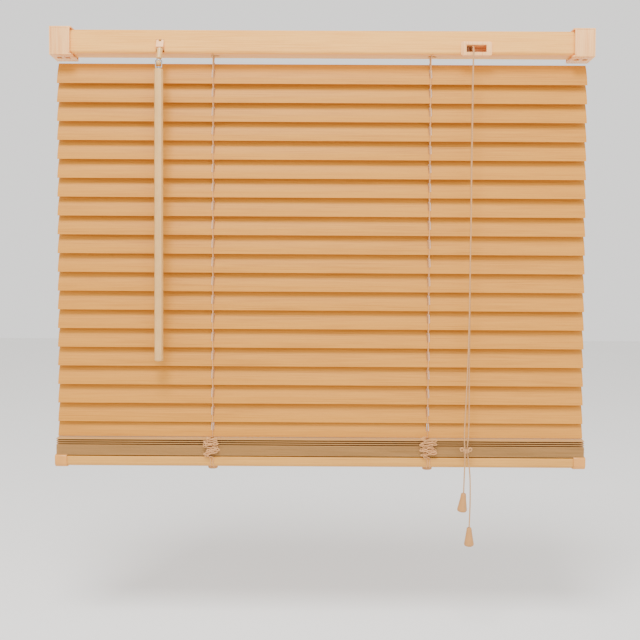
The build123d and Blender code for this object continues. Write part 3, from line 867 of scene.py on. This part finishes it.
def slack_loops(name, x, front, seed):
    """The ladder string's slack at the stack: strands of loops, and two tails to the plug."""
    sizes = bpy.context.scene.blind_sizes
    dice = random.Random(seed)
    out = -1 if front else 1
    face_y = (STACK_BOX[0].y if front else STACK_BOX[1].y) + out * 0.6 * MM
    end = last_string_point("front" if front else "rear", x)
    top = RAIL_BOX[1].z + 21.0 * MM
    bottom = RAIL_BOX[1].z + 1.0 * MM
    rail_face = (RAIL_BOX[0].y if front else RAIL_BOX[1].y) + out * 0.6 * MM
    strands = []
    for index, tail_x in enumerate((-1.4, 1.7)):
        start = end + Vector(((index - 0.5) * MM, 0, 2 * MM))
        points = [start, *slack_strand(x, face_y, out, top, bottom, dice)]
        points += slack_tail(x, tail_x, out, rail_face)
        strands.append(tube(f"{name}_{index}", points, 1.1 * sizes.string, 1))
    spare = slack_strand(x, face_y, out, bottom + 1 * MM, top - 4 * MM, dice)
    strands.append(tube(f"{name}_spare", spare, 1.1 * sizes.string, 1))
    piece = join(name, strands)
    paint(piece, "twisted_polyester")
    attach(piece, "bottom")


def last_string_point(edge, x):
    """Where the last slat's string ends, at a ladder."""
    return slat_axis(HANGING) + string_offset(edge) + Vector((x, 0, 0))


class BLIND_OT_ladders(bpy.types.Operator):
    """Add the ladder strings, their rungs under the slats and their slack loops"""

    bl_idname = "blind.ladders"
    bl_label = "Ladders"

    def execute(self, context):
        for edge, body in (("front", "front_strings"), ("rear", "rear_strings")):
            offset = string_offset(edge)
            for side_name, side in SIDES.items():
                x = side * LADDER_X
                across = Vector((x, 0, 0))
                upper = [slat_axis(n) + offset + across for n in range(1, FIXED + 1)]
                string_piece(f"string_{edge}_{side_name}_upper", upper, body)
                lower = [slat_axis(n) + offset + across for n in range(FIXED, HANGING + 1)]
                piece = string_piece(f"string_{edge}_{side_name}_lower", lower, body)
                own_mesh(piece)
                self.lead(edge, side_name, slat_axis(1) + offset + across)
                seed = 11 + 3 * side + (7 if edge == "front" else 0)
                slack_loops(f"slack_{edge}_{side_name}", x, edge == "front", seed)
                if (edge, side_name) == ("front", "left"):
                    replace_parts(piece, "ladder_front_strings", "ladder_rear_strings")
        for number in range(1, HANGING + 1):
            rungs(number)
        return {"FINISHED"}

    def lead(self, edge, side_name, end):
        """The string from the hole in the headrail's floor to the first slat."""
        out = -1 if edge == "front" else 1
        axis_y = slat_axis(1).y
        hole = Vector((end.x, axis_y + out * STRING_HOLE_REACH, HEADRAIL_BOX[0].z + 1.5 * MM))
        points = [hole, hole.lerp(end, 0.35), hole.lerp(end, 0.7), end]
        piece = string_piece(f"string_{edge}_{side_name}_lead", points, "root")
        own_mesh(piece)


# ---- lift cords ----
class BLIND_OT_lift_cords(bpy.types.Operator):
    """Add the lift cords below the fixed slats and finish the runs above"""

    bl_idname = "blind.lift_cords"
    bl_label = "Lift cords"

    def execute(self, context):
        paint_nodes("braided_polyester", "lift_cord_runs")
        cord = context.scene.blind_sizes.cord
        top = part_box("lift_cord_runs")[0].z
        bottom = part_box("cord_plugs")[1].z
        y = slat_axis(1).y
        nodes = [f"lift_cord_{n:02d}" for n in range(FIXED + 1, HANGING)]
        for side_name, side in SIDES.items():
            steps = 8
            points = [
                Vector((side * LADDER_X, y, top + (bottom - top) * step / steps))
                for step in range(steps + 1)
            ]
            piece = tube(f"lift_cord_{side_name}", points, cord)
            paint(piece, "braided_polyester")
            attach(piece, "root")
            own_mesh(piece)
            if side_name == "left":
                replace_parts(piece, *nodes)
        return {"FINISHED"}


# ---- rigid parts ----
class BLIND_OT_slats(bpy.types.Operator):
    """Finish the hanging slats and the stack on the bottom rail"""

    bl_idname = "blind.slats"
    bl_label = "Slats"

    def execute(self, context):
        names = [f"slat_{number:02d}" for number in range(1, HANGING + 1)]
        paint_nodes("printed_pvc_honey", *names)
        # The stack gets the duller copy of the slat print: painted shade.
        paint_nodes("pvc_slat_stack_shaded", "stacked_slats")
        return {"FINISHED"}


class BLIND_OT_headrail(bpy.types.Operator):
    """Finish the headrail, its brackets and their gates"""

    bl_idname = "blind.headrail"
    bl_label = "Headrail and brackets"

    def execute(self, context):
        paint_nodes("maple_foil", "headrail")
        for node in ("headrail_end_caps", "wall_brackets", "gate_left", "gate_right"):
            eased(node, 0.35 * MM, "moulded_abs_beige")
        return {"FINISHED"}


class BLIND_OT_tilter(bpy.types.Operator):
    """Finish the tilter, its link and hook, and the wand"""

    bl_idname = "blind.tilter"
    bl_label = "Tilter and wand"

    def execute(self, context):
        paint_nodes("moulded_abs_beige", "tilter_case")
        paint_nodes("cream_acrylic", "tilter_worm")
        eased("wand", 0.3 * MM, "cream_acrylic")
        paint_nodes("zinc_plated_steel", "wand_hook", "tilt_rod")
        paint_nodes("natural_nylon", "tilter_gear", "ladder_drums", "drum_cradles")
        return {"FINISHED"}


class BLIND_OT_cord_lock(bpy.types.Operator):
    """Finish the cord lock and its roller"""

    bl_idname = "blind.cord_lock"
    bl_label = "Cord lock"

    def execute(self, context):
        eased("cord_lock_case", 0.3 * MM, "moulded_abs_beige")
        paint_nodes("brown_acetal", "cord_lock_roller")
        return {"FINISHED"}


class BLIND_OT_bottom_rail(bpy.types.Operator):
    """Finish the bottom rail, its caps and its cord plugs"""

    bl_idname = "blind.bottom_rail"
    bl_label = "Bottom rail"

    def execute(self, context):
        paint_nodes("tan_foil", "bottom_rail")
        eased("bottom_rail_end_caps", 0.4 * MM, "moulded_abs_tan")
        paint_nodes("turned_tan_plastic", "cord_plugs")
        return {"FINISHED"}


OPERATORS = (
    BLIND_OT_stage,
    BLIND_OT_pull_cords,
    BLIND_OT_ladders,
    BLIND_OT_lift_cords,
    BLIND_OT_slats,
    BLIND_OT_headrail,
    BLIND_OT_tilter,
    BLIND_OT_cord_lock,
    BLIND_OT_bottom_rail,
)


class BLIND_PT_panel(bpy.types.Panel):
    """Lists the blind's settings and pieces"""

    bl_idname = "BLIND_PT_panel"
    bl_label = "Venetian blind"
    bl_space_type = "VIEW_3D"
    bl_region_type = "UI"
    bl_category = "Blind"

    def draw(self, context):
        layout = self.layout
        for group in (context.scene.blind_sizes, context.scene.blind_colours):
            for name in group.__annotations__:
                layout.prop(group, name)
        for operator in OPERATORS:
            layout.operator(operator.bl_idname)


CLASSES = (BlindSizes, BlindColours, *OPERATORS, BLIND_PT_panel)


def register():
    for cls in CLASSES:
        bpy.utils.register_class(cls)
    bpy.types.Scene.blind_sizes = bpy.props.PointerProperty(type=BlindSizes)
    bpy.types.Scene.blind_colours = bpy.props.PointerProperty(type=BlindColours)


def unregister():
    del bpy.types.Scene.blind_colours
    del bpy.types.Scene.blind_sizes
    for cls in reversed(CLASSES):
        bpy.utils.unregister_class(cls)


def main():
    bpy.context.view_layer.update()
    register()
    for operator in OPERATORS:
        group, name = operator.bl_idname.split(".")
        getattr(getattr(bpy.ops, group), name)()


if __name__ == "__main__":
    main()
